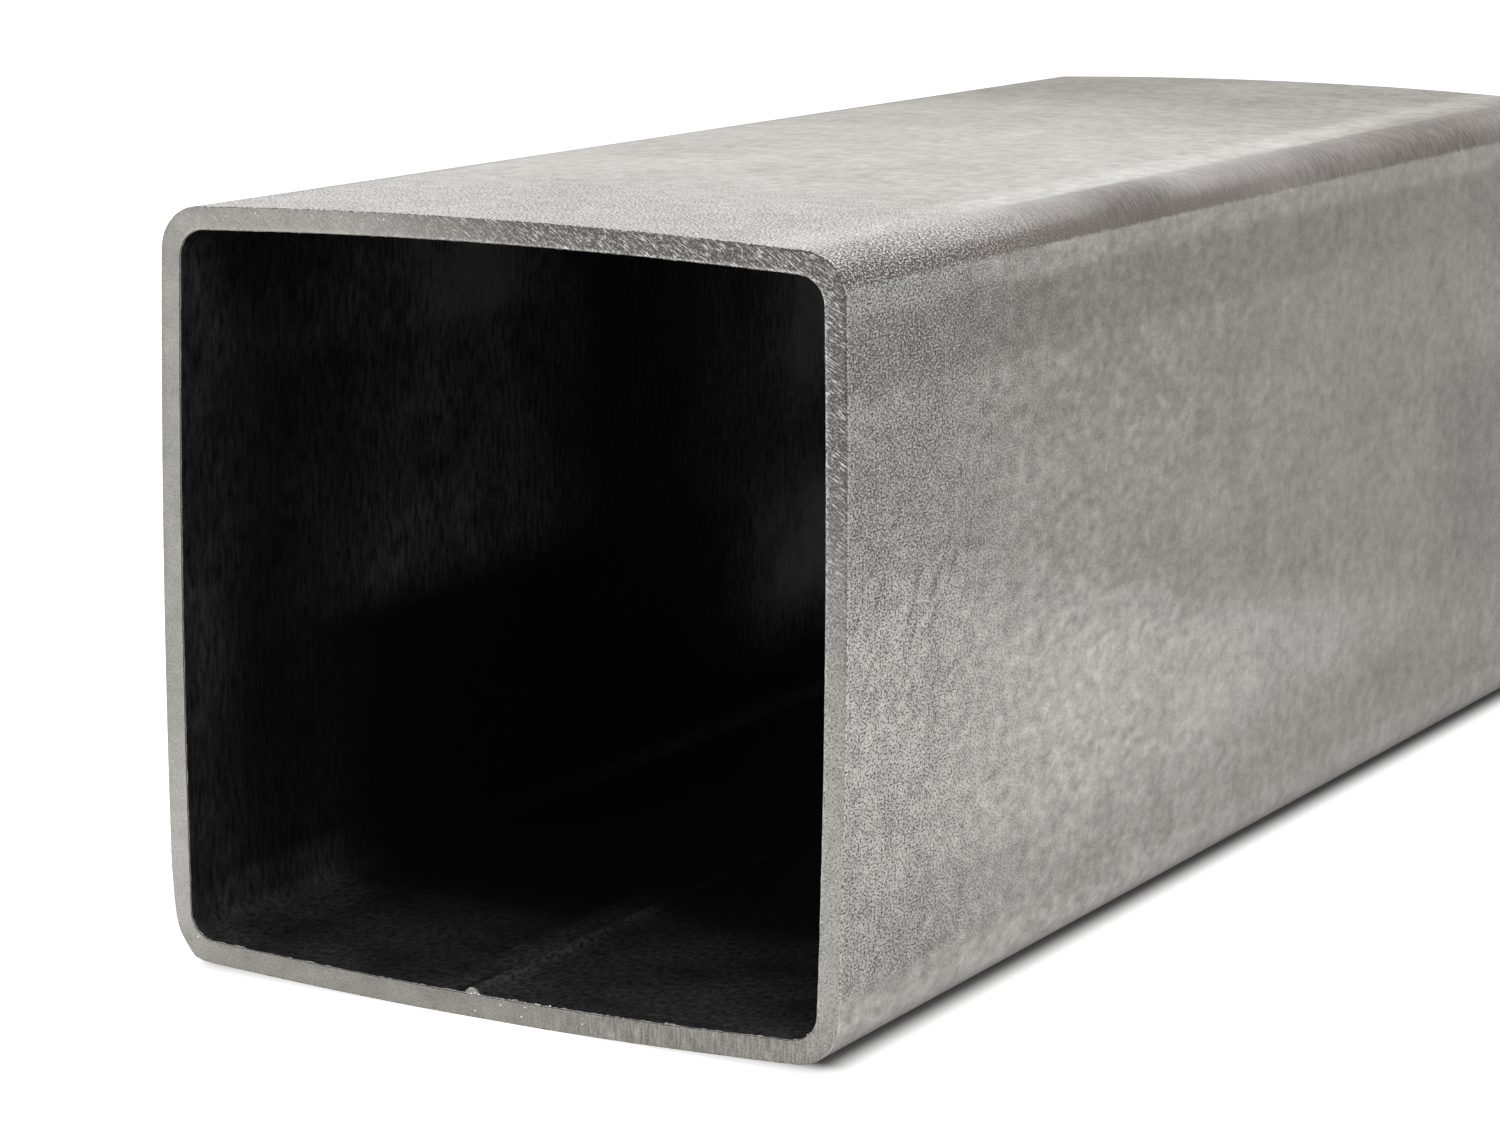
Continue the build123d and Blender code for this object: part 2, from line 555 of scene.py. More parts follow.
def makeSawnSteel():
    # The cut is smooth where the blade came in, at the left, and scored by its teeth at the top right.
    look = sawnSteel
    material, tree, shader = newMaterial("sawnSteel")
    place = inMillimetres(tree)
    right, _, up = addNode(tree, "SeparateXYZ", {0: place}).outputs
    strokes = placeGroup(tree, arcStrokes, place, look["blade"])
    grains = placeGroup(tree, speckle, place, look["grain"])

    upRight = plus(tree, times(tree, right, 0.72), up)
    scored = spread(tree, upRight, 77.0, 113.0, smooth=True)
    rightward = plus(tree, right, times(tree, up, 0.5))
    gritty = spread(tree, rightward, 38.0, 64.0, smooth=True)
    low = spread(tree, up, 9.0, 2.5, smooth=True)
    colour = blend(tree, low, look["smooth"], look["under"])
    mottle = noise(tree, place, *look["mottle"])
    colour = shaded(tree, colour, spread(tree, mottle, 0.3, 0.7, 0.88, 1.12))
    paleFoot = spread(tree, right, -10.0, 30.0, 0.22, 0.13)
    paleFoot = times(tree, spread(tree, up, 42.0, 12.0, smooth=True), paleFoot)
    colour = shaded(tree, colour, plus(tree, paleFoot, 1.0))
    combed = spread(tree, noise(tree, place, *look["combed"]), 0.35, 0.65, 0.28, -0.28)
    combed = times(tree, combed, times(tree, low, spread(tree, right, 0.0, 18.0)))
    colour = shaded(tree, colour, plus(tree, combed, 1.0))

    # The teeth's strokes and glints, then dark and bright grit.
    colour = blend(tree, spread(tree, scored, 0.08, 1.0, 0.0, 0.92), colour, look["rough"])
    lines = spread(tree, strokes["Strokes"], 0.57, 0.70)
    lineDepth = math2(tree, "MAXIMUM", spread(tree, scored, 0.2, 1.0, 0.08, 0.74),
                      spread(tree, up, 93.0, 99.0, 0.0, 0.24))
    colour = blend(tree, times(tree, lines, lineDepth), colour, look["stroke"])
    glintAmount = times(tree, strokes["Glints"], scored)
    colour = blend(tree, glintAmount, colour, look["glint"])
    darkGrit = times(tree, grains["Dark"], spread(tree, gritty, 0.0, 1.0, 0.22, 0.62))
    colour = blend(tree, darkGrit, colour, look["dark"])
    brightGrit = times(tree, grains["Bright"], spread(tree, gritty, 0.0, 1.0, 0.20, 0.42))
    colour = blend(tree, brightGrit, colour, look["stroke"])

    # The outer edge is torn and dark towards the top right, and the inner one is rubbed bright.
    chatter = noise(tree, place, *look["chatter"])
    torn = times(tree, mark(tree, "outerEdge"), spread(tree, chatter, 0.64, 0.42, 0.2, 0.9))
    torn = times(tree, torn, spread(tree, up, 34.0, 84.0, 0.1, 1.0))
    torn = times(tree, torn, spread(tree, right, 20.0, 46.0, 0.25, 1.0))
    colour = blend(tree, torn, colour, look["dark"])
    rubbed = times(tree, mark(tree, "innerEdge"), spread(tree, grains["Height"], 0.38, 0.60, 0.15, 0.80))
    rubbed = times(tree, rubbed, spread(tree, scored, 0.0, 1.0, 0.25, 0.9))
    colour = blend(tree, rubbed, colour, look["stroke"])

    rough = spread(tree, glintAmount, 0.0, 1.0, look["roughness"], look["glintRoughness"])
    feedShader(tree, shader, colour, rough, look["metal"])
    height = plus(tree, times(tree, strokes["Strokes"], scored), times(tree, grains["Height"], 0.3))
    addRelief(tree, shader, height, strength=0.5, depth=0.15)
    return material


boreScale = {
    "scale": (0.0030, 0.0030, 0.0032),
    "wornAndLit": (0.100, 0.098, 0.099),
    "palest": (0.40, 0.39, 0.39),
    "speck": (0.0015, 0.0015, 0.0016),
    "speckDepth": 0.45,
    "grain": {"Grain": 0.7},
    "streaks": ((3.2, 0.9), 3.0, 0.65),   # size round the section and along the tube, detail, roughness
    "spots": ((0.8, 1.3), 3.0, 0.65),
    "clouds": ((17, 13), 3.0, 0.6),
    "roughness": 0.80,
    "wornRoughness": 0.68,
    "gloss": 0.02,
}


def makeBoreScale():
    # Dark oxide scale. It is paler where the scale is thin and where the pallor mark paints light, with
    # streaks on the sides and spots on the base.
    look = boreScale
    material, tree, shader = newMaterial("boreScale")
    place = onSkinMap(tree)
    paler = mark(tree, "paler")
    streaks, spots, clouds = (noise(tree, place, *look[name]) for name in ("streaks", "spots", "clouds"))
    level = spread(tree, math2(tree, "ABSOLUTE", mark(tree, "lean")), 0.5, 0.9)
    thin = plus(tree, times(tree, spots, level),
                times(tree, streaks, math2(tree, "SUBTRACT", 1.0, level)))
    grains = placeGroup(tree, speckle, place, look["grain"])
    wornAndLit = times(tree, spread(tree, thin, 0.30, 0.70, 0.10, 1.55),
                 spread(tree, clouds, 0.35, 0.65, 0.55, 1.20))
    wornAndLit = times(tree, wornAndLit, paler)
    colour = blend(tree, wornAndLit, look["scale"], look["wornAndLit"])
    palest = times(tree, spread(tree, paler, 1.1, 2.5, 0.0, 0.65),
                 spread(tree, clouds, 0.35, 0.65, 0.4, 1.5))
    colour = blend(tree, palest, colour, look["palest"])
    colour = blend(tree, times(tree, grains["Dark"], look["speckDepth"]), colour, look["speck"])
    rough = spread(tree, wornAndLit, 0.0, 1.0, look["roughness"], look["wornRoughness"])
    feedShader(tree, shader, colour, rough, metal=0.0)
    addRelief(tree, shader, grains["Height"], strength=0.4, depth=0.3)
    shader.inputs["Specular IOR Level"].default_value = look["gloss"]
    return material


skinLightAndStains = {
    # the pale band on the flank is a painted reflection of the floor
    "floorSheenTop": ((-125, -85, -55, 60), (50, 44, 39, 25)),     # the pale band narrows as it goes back
    "floorSheenSoft": ((-125, -85, -40, 0), (22, 18, 13, 9)),
    "floorSheenDepth": ((-110, -25, 75), (0.66, 0.60, 0.05)),
    "flankRest": -0.18,
    # painted light and shade on the right flank, with some tone from rolling
    "flank": (                   # strength, then low, high and soft edge along the tube and up the flank
        (0.14, (-130, -115, 120), allAlong),
        (0.08, (-131, -114, 45), (0, 56, 16)),
        (-0.16, (76, 130, 14), (30, 56, 14)),
        (0.08, (-130, 0, 30), (55, 68, 8)),
        (-0.09, (-130, -45, 20), (9, 19, 4)),
        (-0.12, allAlong, (85, 91, 3.5)),
        (-0.16, (-130, -115, 120), (85, 91, 3.5)),
        (0.17, allAlong, (93.4, 97.5, 1.4)),
        (0.40, (-131, -129.7, 0.5), allAlong),             # a painted highlight along the broken edge
        (0.10, (-131, -129.4, 1.5), (72, 99, 10)),
        # a smooth, partly burnished strip above the lower bend, with a painted reflection of the floor
        (0.16, allAlong, (5.5, 8, 1.5)),
    ),
    # a painted highlight along the top near its right corner, drawing in as it goes back
    "topHighlightX": ((-120, 0, 80), (40.6, 39, 36.5)),
    "topHighlightDepth": 0.23,
    "top": (                     # the same along the tube and across the top
        (-0.04, allAlong, allAlong),
        # a painted highlight by the near right corner
        (0.18, (-130, -108, 12), (37, 46, 6)),
        # painted shade towards the far end
        (-0.27, (120, 130, 110), allAlong),
        (0.10, (100, 130, 20), (5, 99, 20)),
        (-0.10, (-32, 28, 25), (-50, -6, 12)),
    ),
    # painted shade on the lower bend, which faces the floor by the tube's foot
    "bendShadeDepth": 0.30,
    "bandStains": (
        (1.0, (-53, -36, 7), allAlong),
        (0.55, (-72, -60, 6), allAlong),
        (0.3, (18, 32, 9), allAlong),
        (0.52, (-18, 130, 15), allAlong),
        (0.25, (48, 84, 12), allAlong),
    ),
    "leftStain": 0.5,
}


def skinShade(x, y, z):
    # Painted light and shade on the skin, with some tone from rolling. Each band is a soft-edged patch on
    # a flat,
    # lighter or darker than 1: on the flank a painted reflection of the floor and painted shade on the
    # lower bend, on the top a painted highlight near its right corner and painted shade towards its far
    # end.
    tone = skinLightAndStains
    floorSheenTop, soft, depth = (np.interp(y, *tone[name]) for name in ("floorSheenTop", "floorSheenSoft", "floorSheenDepth"))
    pale = depth * (window(z, 0, floorSheenTop, soft) + window(z, 26, floorSheenTop, soft)) / 2
    flank = pale + tone["flankRest"] + patches(tone["flank"], y, z)
    topHighlight = tone["topHighlightDepth"] * window(x - np.interp(y, *tone["topHighlightX"]), -0.8, 1.2, 4.5)
    top = topHighlight + patches(tone["top"], y, x)
    bendShade = tone["bendShadeDepth"] * window(z, -9, 1.4, 3.6) * window(x, 44, 99, 1)
    return 1 + window(x, 47.5, 99, 2.0) * flank - bendShade + window(z, 98, 200, 2.5) * top


def skinGrain(x, y, z):
    # The grains are strongest by the near end and die out along the tube; a strip by the floor has few.
    ends = 0.10 + 0.90 * window(y, -halfLength, -118, 57) + 0.12 * window(y, 112, halfLength, 40)
    top = 1 + 0.6 * window(z, 98, 200, 2) * window(y, -halfLength, -90, 40)
    return ends * top * (1 - 0.85 * window(z, 0, 8, 4) * window(x, 47, 99, 2))


def bandStains(x, y):
    # Stains stand one after another along the right band, and the left band is stained evenly.
    stains = np.clip(patches(skinLightAndStains["bandStains"], y, x), 0, 1)
    return stains * window(x, 40, 99, 2) + skinLightAndStains["leftStain"] * window(-x, 43, 99, 1)


borePale = {
    "depths": (0, 16, 28, 40, 52, 78, 90, 104),              # how far in from the mouth
    # a painted sheen high on the sides, by how far in from the mouth
    "sheen": (0, 0.03, 0.05, 0.21, 0.62, 0.95, 0.60, 0.12),
    "roofSheen": (0, 0.04, 0.12, 0.34, 0.55, 0.50, 0.20, 0.05),
    "middle": (                  # strength, then low, high and soft edge along the tube and up the side
        (0.62, (20, 50, 26), (52, 99, 20)),
        (1.70, (43, 50, 16), (66, 99, 20)),
        (2.00, (34, 50, 28), (27, 32, 17)),
    ),
    "least": 0.02,
    "most": 2.4,
}


def borePallor(x, y, z):
    # Paler inside the two mouths, high on the sides, and on the base just inside. Most of it is painted
    # light:
    # painted light coming in at the mouths, a painted sheen high on the sides, painted highlights along
    # the lower inner corners and a painted shadow beside the bead; the patches in the middle of the sides
    # are simply paler.
    # Each term is a strength times soft-edged windows along the tube, up the side or across the base.
    pale = borePale
    depthIn = halfLength - np.abs(y)
    sides = window(np.abs(x), 43, 99, 3)
    base = window(-z, -5.0, 0, 2.2)
    # painted light coming in at the mouths and on the base just inside
    mouth = (0.21 * window(depthIn, 0, 4, 12) + 0.05 * window(depthIn, 0, 30, 15)) * (1 - 0.6 * base)
    sheen = np.interp(depthIn, pale["depths"], pale["sheen"]) * window(z, 47, 99, 9)
    sheen = sheen + np.interp(depthIn, pale["depths"], pale["roofSheen"]) * window(z, 81, 99, 5)
    high = sides * window(y, -halfLength, 0, 25) * sheen
    low = base * (0.24 + 0.11 * window(x, -2, 46, 8))
    low = low * window(depthIn, 3, 24 + 10 * window(x, 0, 46, 12), 18)
    low = low + base * 0.22 * window(x, -7.5, -3, 3.5) * window(depthIn, 10, 42, 14)
    # a painted shadow on the base beside the bead
    beadShadow = 1 - 0.7 * window(x, -5.5, -5.0, 0.35) * window(depthIn, 0, 6, 8)
    # painted highlights along the lower inner corners
    bend = 0.20 * window(-x, 41, 99, 4) * window(z, 2, 9, 3) * window(depthIn, 0, 28, 15)
    line = 0.16 * window(np.abs(x), 44.9, 45.9, 0.5) * window(z, 2, 6, 1) * window(y, -22, 60, 18)
    middle = sides * patches(pale["middle"], y, z)
    total = (mouth + high + low + bend + line + middle) * beadShadow
    return pale["least"] + np.clip(total, 0, pale["most"])


tubeWall = {
    "rowsFromEnd": (0.12, 0.35, 0.8, 1.6, 3, 5, 8, 12, 17, 23, 30, 38, 47, 57, 68, 80, 93, 106, 118),
    "ringRows": 9,
    "skinWave": 0.05,            # how far the skin wanders in from the true section
    "skinRest": 0.03,
    "waveLengths": (25, 90),
    "edgeBreak": 0.06,           # the sawn edge is broken by this much
    "edgeNibble": 0.16,
    "boreBreak": 0.05,
    "sawWave": 0.03,
    "sawWaveLengths": (4, 30),
    "cutRest": 0.10,             # the cut lies this far inside the stock's length
    "tornEdge": 0.60,            # widths of the dark outer edge and the bright inner edge of the cut
    "rubbedEdge": 0.28,
    "dentSpots": (43.4, 44.8, 46.4, 49, 52, 56.6),
    "dentDepths": (0, 0.40, 0.58, 0.55, 0.25, 0),      # the near end's lower left corner is knocked flat
}


def makeTubeWall(skin, cut, bore):
    # The profile is a closed loop: along the outside, across one sawn end, back along the bore and
    # across the other end. It is carried round the section, with depth measured in from the outline.
    shape = tubeWall
    travel, total, wall = outline["travel"][:-1], outline["total"], outline["wall"]
    nearRows = -halfLength + np.array(shape["rowsFromEnd"])
    outsideY = np.concatenate([nearRows, [0.0], -nearRows[::-1]])
    ring = np.linspace(0, 1, shape["ringRows"])[1:-1]
    sideOut = np.sin(outline["angle"])
    free = window(sideOut, -0.7, 2.0, 0.25)                       # the base keeps its true shape

    wave = ripples(travel[None, :], outsideY[:, None], *shape["waveLengths"], 14, 3)
    skinDepth = (shape["skinRest"] + shape["skinWave"] * (0.5 + 0.5 * wave)) * free[None, :]
    dent = np.interp(total - travel, shape["dentSpots"], shape["dentDepths"])
    skinDepth = skinDepth + dent[None, :] * window(outsideY, -halfLength, -126, 30)[:, None]
    nibble = ragged(travel, 0.8, total, 5) ** 3 + 0.6 * ragged(travel, 0.45, total, 6) ** 4
    nibble = nibble * (0.4 + 0.5 * window(travel, 150, 178, 4))     # the teeth tore the top right most
    breakNear = shape["edgeBreak"] + shape["edgeNibble"] * nibble
    breakFar = shape["edgeBreak"] + shape["edgeNibble"] * (ragged(travel, 0.9, total, 7) ** 3)

    # A row is its depth, its place along the tube and its material: 0 the skin, 1 the cut, 2 the bore.
    rows = [(rowDepth, rowY, 0) for rowDepth, rowY in zip(skinDepth, outsideY)]
    innerLine = wall - shape["boreBreak"]
    for end, outerLine, seed in ((1, skinDepth[-1] + breakFar, 8), (-1, skinDepth[0] + breakNear, 9)):
        saw = ripples(travel, travel * 0, *shape["sawWaveLengths"], 12, seed)
        cutY = end * (halfLength - shape["sawWave"] * (0.5 + 0.5 * saw) - shape["cutRest"])
        across = [(outerLine, end * (halfLength - shape["cutRest"]), 1 if end > 0 else 0)]
        across += [(outerLine + (innerLine - outerLine) * share, cutY, 1) for share in ring]
        across.append((innerLine, end * halfLength, 2 if end > 0 else 1))
        rows += across[::end]
        if end > 0:
            rows += [(wall, rowY, 2) for rowY in outsideY[::-1]]

    depth, y = (np.array([np.broadcast_to(row[n], travel.shape) for row in rows]) for n in (0, 1))
    x, z = onSection(depth)
    z = np.maximum(z, 0.0)                                          # the planed strip
    tornEnd = shape["edgeBreak"] + shape["tornEdge"]
    cornerStart = 43.4 + 1.4 * window(y, -130, -110, 10)
    marks = {
        "lean": np.broadcast_to(sideOut, x.shape),
        "shade": skinShade(x, y, z),
        "grainy": skinGrain(x, y, z),
        "stain": bandStains(x, y),
        "dull": window(z, 97, 200, 2) * window(y, 110, 130, 120),
        "cornered": window(np.abs(x), cornerStart, 99, 1.6),
        "brownFoot": 0.90 - 0.66 * window(y, 12, 130, 34),
        "rubbed": window(y, -124, -99, 7) * window(z, 47, 66, 6) * window(x, 48, 99, 1),
        "paler": borePallor(x, y, z),
        "outerEdge": np.clip((tornEnd - depth) / shape["tornEdge"], 0, 1),
        "innerEdge": np.clip((depth - wall) / shape["rubbedEdge"] + 1, 0, 1),
    }
    piece = gridPiece("tube_wall", x, y, z, closedRows=True, maps=(outline["travel"], y),
                      marks=marks, faceKind=np.array([row[2] for row in rows]))
    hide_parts("square_tube")
    return finishPiece(piece, skin, cut, bore)


weldBead = {
    "width": 2.6,
    "height": 1.1,
    "sunk": 0.2,                 # its foot is this far inside the wall
    "topPoints": 13,
    "rowStep": 0.3,
    "rippleEvery": 1.1,
    "rippleHeight": 0.006,
    "rippleBend": 0.5,
    "usualHeight": 0.82,         # shares of the full height and width, and how far they swing
    "heightSwing": 0.13,
    "usualWidth": 0.88,
    "widthSwing": 0.09,
    "wander": 0.16,
    "shortOfEnds": 0.10,
}


def boreFloor(x):
    # The bore's lower face is a circle whose centre is far above it.
    centreX, centreZ, radius = (outline[key][0] for key in ("centreX", "centreZ", "radius"))
    return centreZ - np.sqrt((radius - section["wall"]) ** 2 - (x - centreX) ** 2)


def makeWeldBead(bead, cut):
    # A bell profile is carried along the bore over the seam. Its height is a half ellipse across, to a
    # power that grows inside the mouths, times a usual height plus waves along the tube. The finest
    # waves bend back at the sides, like the ripples of a weld.
    shape = weldBead
    reach = halfLength - shape["shortOfEnds"]
    y = np.linspace(-reach, reach, int(2 * reach / shape["rowStep"]))[:, None]
    across = np.concatenate([np.linspace(-1, 1, shape["topPoints"]), [0.9, 0.0, -0.9]])[None, :]
    top = (np.arange(across.size) < shape["topPoints"])[None, :]    # the last three are its foot
    ripple = np.sin(2 * math.pi * (y + shape["rippleBend"] * across**2) / shape["rippleEvery"])
    slow = ripples(y, y * 0, 5, 40, 9, 21)
    height = shape["height"] * (shape["usualHeight"] + shape["heightSwing"] * slow
                                + shape["rippleHeight"] * ripple)
    depthIn = halfLength - np.abs(y)
    bell = np.sqrt(np.clip(1 - across**2, 0, 1)) ** (1.25 + 1.2 * window(depthIn, 7, 999, 6))
    swing = ripples(y, y * 0, 3, 25, 9, 22)
    width = shape["width"] / 2 * (shape["usualWidth"] + shape["widthSwing"] * swing)
    middle = section["seamOffset"] + shape["wander"] * ripples(y, y * 0, 12, 70, 7, 23)
    x = middle + width * across
    z = boreFloor(x) - shape["sunk"] + top * bell * (height + shape["sunk"])
    y = np.broadcast_to(y, x.shape)
    lit = window(depthIn, 1, 36, 16)                                # painted light, paler near the mouths and on the bead's crown
    marks = {"paler": 0.10 + 0.20 * lit + 0.40 * lit * (1 - across**2) * top,
             "lean": np.ones(x.shape)}
    kinds = np.zeros(len(y) - 1, int)
    kinds[[0, -1]] = 1
    piece = gridPiece("weld_bead", x[:, ::-1], y, z[:, ::-1], capped=True, marks=marks, faceKind=kinds,
                      maps=(np.linspace(0, 6, x.shape[1] + 1), y))
    return finishPiece(piece, bead, cut)


edgeBurr = {
    "least": 0.02,
    "reach": 0.24,
    "spacing": 0.42,
    "foot": 0.12,
    "profile": (0.07, 0.09, 0.26, 0.46),  # its foot, tip, shoulder and other foot, in from the tube's end
    "shoulder": 0.6,             # the shoulder's share of the tip's height
    "onTheSides": 0.35,          # of the height that it has on the lower edge
}


def makeEdgeBurr(name, end, seed, material):
    # A thin lip round the bore's edge. Its profile is a small wedge with its foot in the wall, and its
    # tip stands out into the bore by a ragged height; most of it hangs on the lower edge.
    shape = edgeBurr
    travel, total, wall = outline["travel"][:-1], outline["total"], outline["wall"]
    tip = ragged(travel, shape["spacing"], total, seed) ** 3
    tip = tip + 0.5 * ragged(travel, 1.3, total, seed + 1) ** 4
    below = window(-np.sin(outline["angle"]), 0.6, 2, 0.6)
    lower = shape["onTheSides"] + (1 - shape["onTheSides"]) * below
    height = shape["least"] + shape["reach"] * tip * lower
    foot = wall - shape["foot"]
    depth = np.stack([foot, wall + height, wall + height * shape["shoulder"], foot])
    inward = np.array(shape["profile"])[:, None] + 0.03 * tip
    x, z = onSection(depth)
    y = end * (halfLength - inward)
    if end < 0:
        x, y, z = x[::-1], y[::-1], z[::-1]
    piece = gridPiece(name, x, y, z, closedRows=True, maps=(outline["travel"], y))
    return finishPiece(piece, material)


spatter = {
    "grains": 46,
    "onBead": 14,                # this many of them sit on the bead's end
    "smallest": 0.08,
    "largest": 0.22,
    "beadReach": 1.05,
    "beadDome": 0.9,
    "edgeReach": 26,             # the others lie along the lower edge of the bore, to this far right
    "onRim": ((0.5, 0.9), (4.3, 2.2), (7.9, 2.4), (7.4, 1.1), (8.0, 0.9), (16.4, 1.5), (11.6, 3.1),
              (-42.7, 4.4), (-36.5, 99.8), (-31.8, 100.3), (-18.7, 100.7), (-12.4, 100.7)),
    "rimGrain": 0.24,
}


def makeSpatter(material):
    # Each grain is a twenty-sided ball, squashed by chance. They sit on the weld's cut end, along the
    # lower edge of the bore, and some on the cut itself.
    shape = spatter
    dice = np.random.default_rng(31)
    count = shape["grains"]
    golden = (1 + math.sqrt(5)) / 2
    four = np.array([(-1, golden, 0), (1, golden, 0), (-1, -golden, 0), (1, -golden, 0)])
    corners = np.concatenate([np.roll(four, turn, axis=1) for turn in range(3)])
    corners = corners / np.linalg.norm(corners[0])
    faces = np.array([(0, 11, 5), (0, 5, 1), (0, 1, 7), (0, 7, 10), (0, 10, 11), (1, 5, 9), (5, 11, 4),
                      (11, 10, 2), (10, 7, 6), (7, 1, 8), (3, 9, 4), (3, 4, 2), (3, 2, 6), (3, 6, 8),
                      (3, 8, 9), (4, 9, 5), (2, 4, 11), (6, 2, 10), (8, 6, 7), (9, 8, 1)])
    onBead = np.arange(count) < shape["onBead"]
    chance = dice.random(count) ** np.where(onBead, 0.8, 2.2)
    sizes = shape["smallest"] + (shape["largest"] - shape["smallest"]) * chance
    side = dice.uniform(-1, 1, count)
    x = section["seamOffset"] + np.where(onBead, shape["beadReach"] * side,
                                         2 + shape["edgeReach"] * side**2)
    dome = shape["beadDome"] * np.sqrt(np.clip(1 - side**2, 0, 1)) * dice.random(count) ** 1.6
    z = boreFloor(x) + np.where(onBead, dome, 0.0) + 0.02
    y = -halfLength + sizes + np.where(onBead, 0.0, 0.12 * dice.random(count))
    rimX, rimZ = np.array(shape["onRim"]).T
    rimSizes = np.full(len(rimX), shape["rimGrain"])
    x = np.append(x, section["seamOffset"] + rimX)
    z = np.append(z, rimZ)
    y = np.append(y, -halfLength + rimSizes)
    sizes = np.append(sizes, rimSizes)
    squash = dice.uniform(0.75, 1.0, (len(x), 1, 3))
    squash[:, :, 1] = 0.99
    points = np.stack([x, y, z], axis=-1)[:, None, :] + corners[None] * sizes[:, None, None] * squash
    allFaces = faces[None] + len(corners) * np.arange(len(x))[:, None, None]
    piece = plainPiece("weld_spatter", points, allFaces.reshape(-1, 3).tolist())
    return finishPiece(piece, material)


spatterSteel = {
    "dark": (0.30, 0.29, 0.28),
    "bright": (1.0, 1.0, 0.99),
    "grain": {"Grain": 0.4, "Bright Share": 1.0},
    "roughness": 0.5,
    "brightRoughness": 0.2,
    "metal": 0.9,
}


def makeSpatterSteel():
    look = spatterSteel
    material, tree, shader = newMaterial("spatterSteel")
    grains = placeGroup(tree, speckle, inMillimetres(tree), look["grain"])
    colour = blend(tree, grains["Bright"], look["dark"], look["bright"])
    rough = spread(tree, grains["Bright"], 0.0, 1.0, look["roughness"], look["brightRoughness"])
    feedShader(tree, shader, colour, rough, look["metal"])
    return material


millSkinMaterial = makeMillSkin()
sawnSteelMaterial = makeSawnSteel()
boreScaleMaterial = makeBoreScale()
print("materials made")
makeTubeWall(millSkinMaterial, sawnSteelMaterial, boreScaleMaterial)
makeWeldBead(boreScaleMaterial, sawnSteelMaterial)
makeEdgeBurr("near_burr", -1, 41, sawnSteelMaterial)
makeEdgeBurr("far_burr", 1, 51, sawnSteelMaterial)
makeSpatter(makeSpatterSteel())


studio = {
    "floorSize": 6000.0,
    "floorTone": 0.42,
    "floorDrop": 0.02,           # keeps the floor just clear of the planed strip
    "cameraGlow": 0.80,          # keeps the floor white away from the tube's shadow
    "mirrorGlow": 0.42,
    "contact": (44.5, halfLength - 6, 0.0),       # half the footprint that doesn't glow, a painted shadow round the tube's foot
    "contactFade": 5.0,
    "lightLevel": 0.55,          # of the world, for everything but what the camera and gloss see
}


def makeFloor():
    # The floor glows for the camera and for gloss, but not under the tube or close to its foot, so a
    # painted shadow rings the foot, with the lamps' own shadow in it.
    material, tree, shader = newMaterial("paleFloor")
    output = tree.nodes["Material Output"]
    tree.nodes.remove(shader)
    rays = addNode(tree, "LightPath").outputs
    mirrored = math2(tree, "MAXIMUM", rays["Is Glossy Ray"], rays["Is Transmission Ray"])
    seen = plus(tree, times(tree, rays["Is Camera Ray"], studio["cameraGlow"]),
                times(tree, mirrored, studio["mirrorGlow"]))
    away = vector2(tree, "ABSOLUTE", inMillimetres(tree))
    away = vector2(tree, "SUBTRACT", away, studio["contact"])
    away = vector2(tree, "MAXIMUM", away)
    distance = addNode(tree, "VectorMath", {0: away}, operation="LENGTH").outputs["Value"]
    glow = times(tree, spread(tree, distance, 0.0, studio["contactFade"], smooth=True), seen)
    diffuse = addNode(tree, "BsdfDiffuse", {"Color": (*[studio["floorTone"]] * 3, 1)}).outputs[0]
    emission = addNode(tree, "Emission", {"Color": (1, 1, 1, 1), "Strength": glow}).outputs[0]
    both = addNode(tree, "AddShader", {0: diffuse, 1: emission}).outputs[0]
    tree.links.new(both, output.inputs["Surface"])
    half, level = studio["floorSize"] / 2, -studio["floorDrop"]
    corners = [(-half, -half, level), (half, -half, level), (half, half, level), (-half, half, level)]
    floor = plainPiece("studio_floor", np.array(corners), [(0, 1, 2, 3)])
    floor.data.materials.append(material)


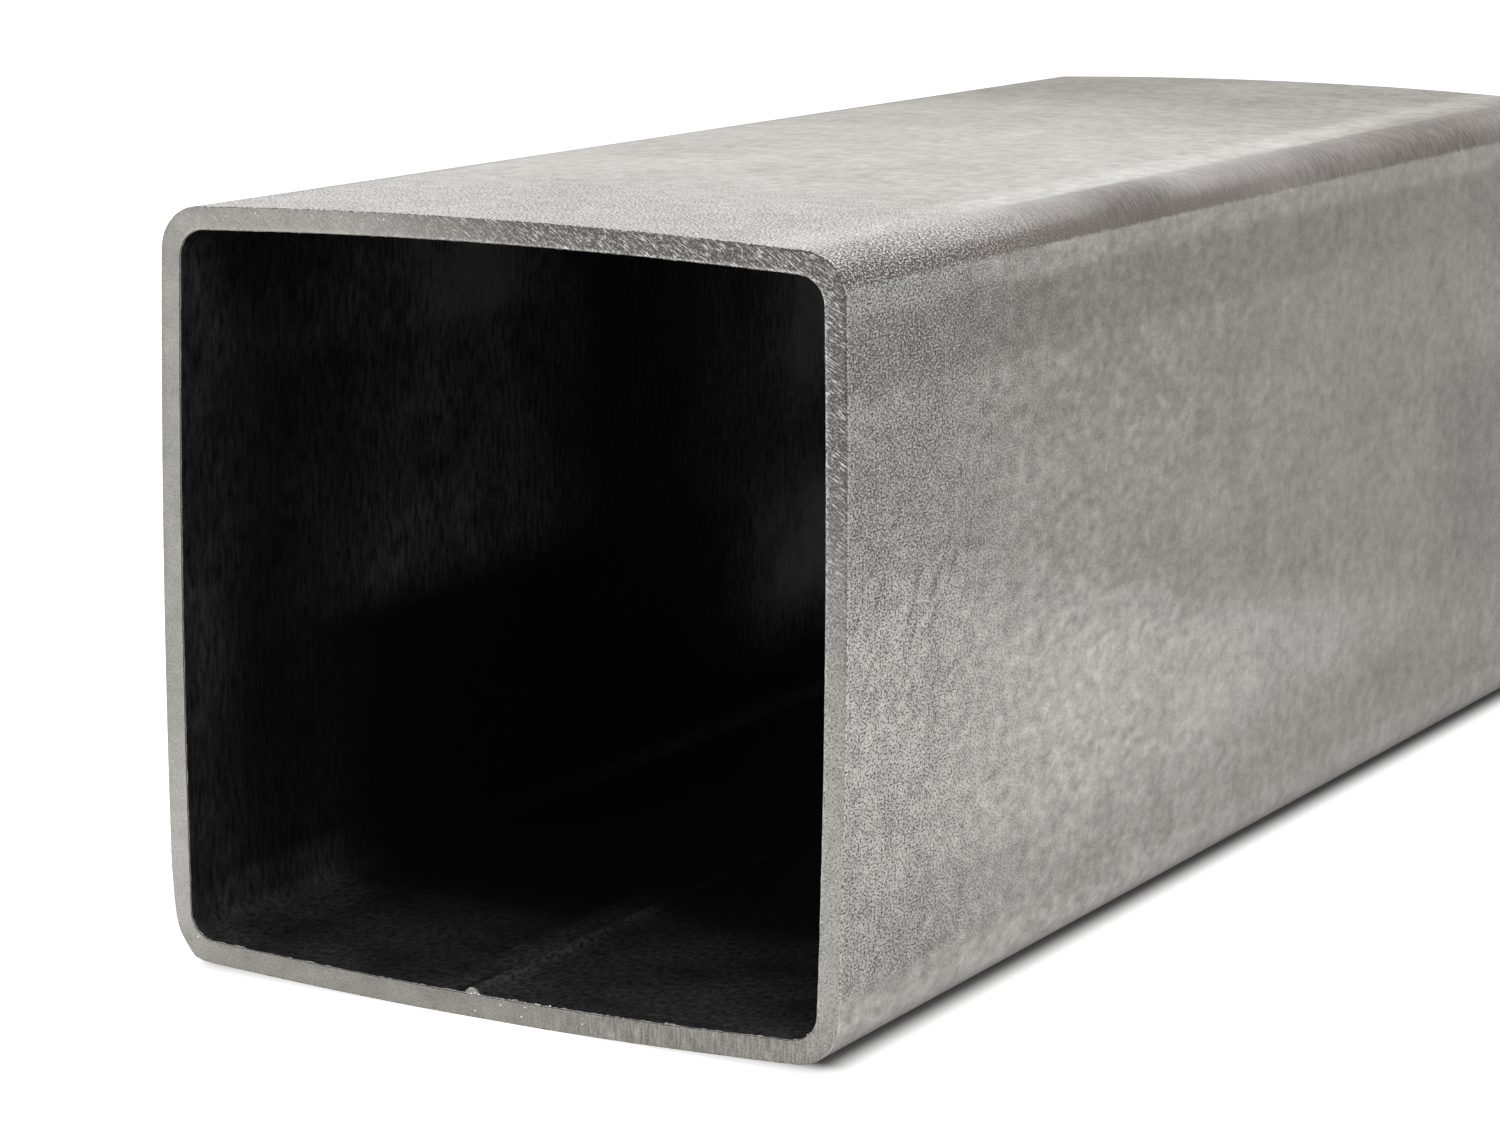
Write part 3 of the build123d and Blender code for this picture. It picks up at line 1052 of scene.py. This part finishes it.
def makeWorld():
    # White for the camera and for gloss, and a plain grey light for everything else.
    world = bpy.data.worlds.new("studio")
    world.use_nodes = True
    tree = world.node_tree
    tree.nodes.clear()
    rays = addNode(tree, "LightPath").outputs
    seen = math2(tree, "MAXIMUM", rays["Is Camera Ray"],
                 math2(tree, "MAXIMUM", rays["Is Glossy Ray"], rays["Is Transmission Ray"]))
    strength = spread(tree, seen, 0.0, 1.0, studio["lightLevel"], 1.0)
    background = addNode(tree, "Background", {"Color": (1, 1, 1, 1), "Strength": strength})
    addNode(tree, "OutputWorld", {"Surface": background.outputs[0]})
    bpy.context.scene.world = world


softLamps = {                    # place and aim in metres, width and height in metres, watts
    "overhead": ((-0.1, 0.2, 1.3), (0, 0, 0), (1.2, 1.2), 14),
    "shoulder": ((1.0, -0.9, 0.9), (0, 0, 0.02), (0.8, 0.8), 6),
    "behind": ((-0.7, 1.4, 0.55), (0, 0, 0.05), (1.4, 0.6), 1.4),
}


def addSoftLamp(name, place, aim, size, power):
    lamp = bpy.data.lights.new(name, "AREA")
    lamp.shape = "RECTANGLE"
    lamp.size, lamp.size_y = size
    lamp.energy = power
    holder = intoScene(name, lamp)
    holder.location = Vector(place)
    holder.rotation_euler = (Vector(aim) - Vector(place)).to_track_quat("-Z", "Y").to_euler()


camera = {
    "place": (283.86, -573.78, 159.66),
    "yaw": 29.091,               # angles in degrees
    "pitch": 10.81,
    "roll": 0.434,
    "lens": 103.618,
    "sensor": 36,
}


def makeCamera():
    data = bpy.data.cameras.new("camera")
    data.sensor_width = camera["sensor"]
    data.lens = camera["lens"]
    data.clip_start, data.clip_end = 0.01, 50
    holder = intoScene("camera", data)
    holder.matrix_world = (
        Matrix.Translation(Vector(camera["place"]) * mm)
        @ Matrix.Rotation(math.radians(camera["yaw"]), 4, "Z")
        @ Matrix.Rotation(math.radians(90 - camera["pitch"]), 4, "X")
        @ Matrix.Rotation(math.radians(camera["roll"]), 4, "Z")
    )
    bpy.context.scene.camera = holder


makeFloor()
makeWorld()
for lampName, lampValues in softLamps.items():
    addSoftLamp(lampName, *lampValues)
makeCamera()
bpy.context.scene.view_settings.view_transform = "Standard"

print("studio made")
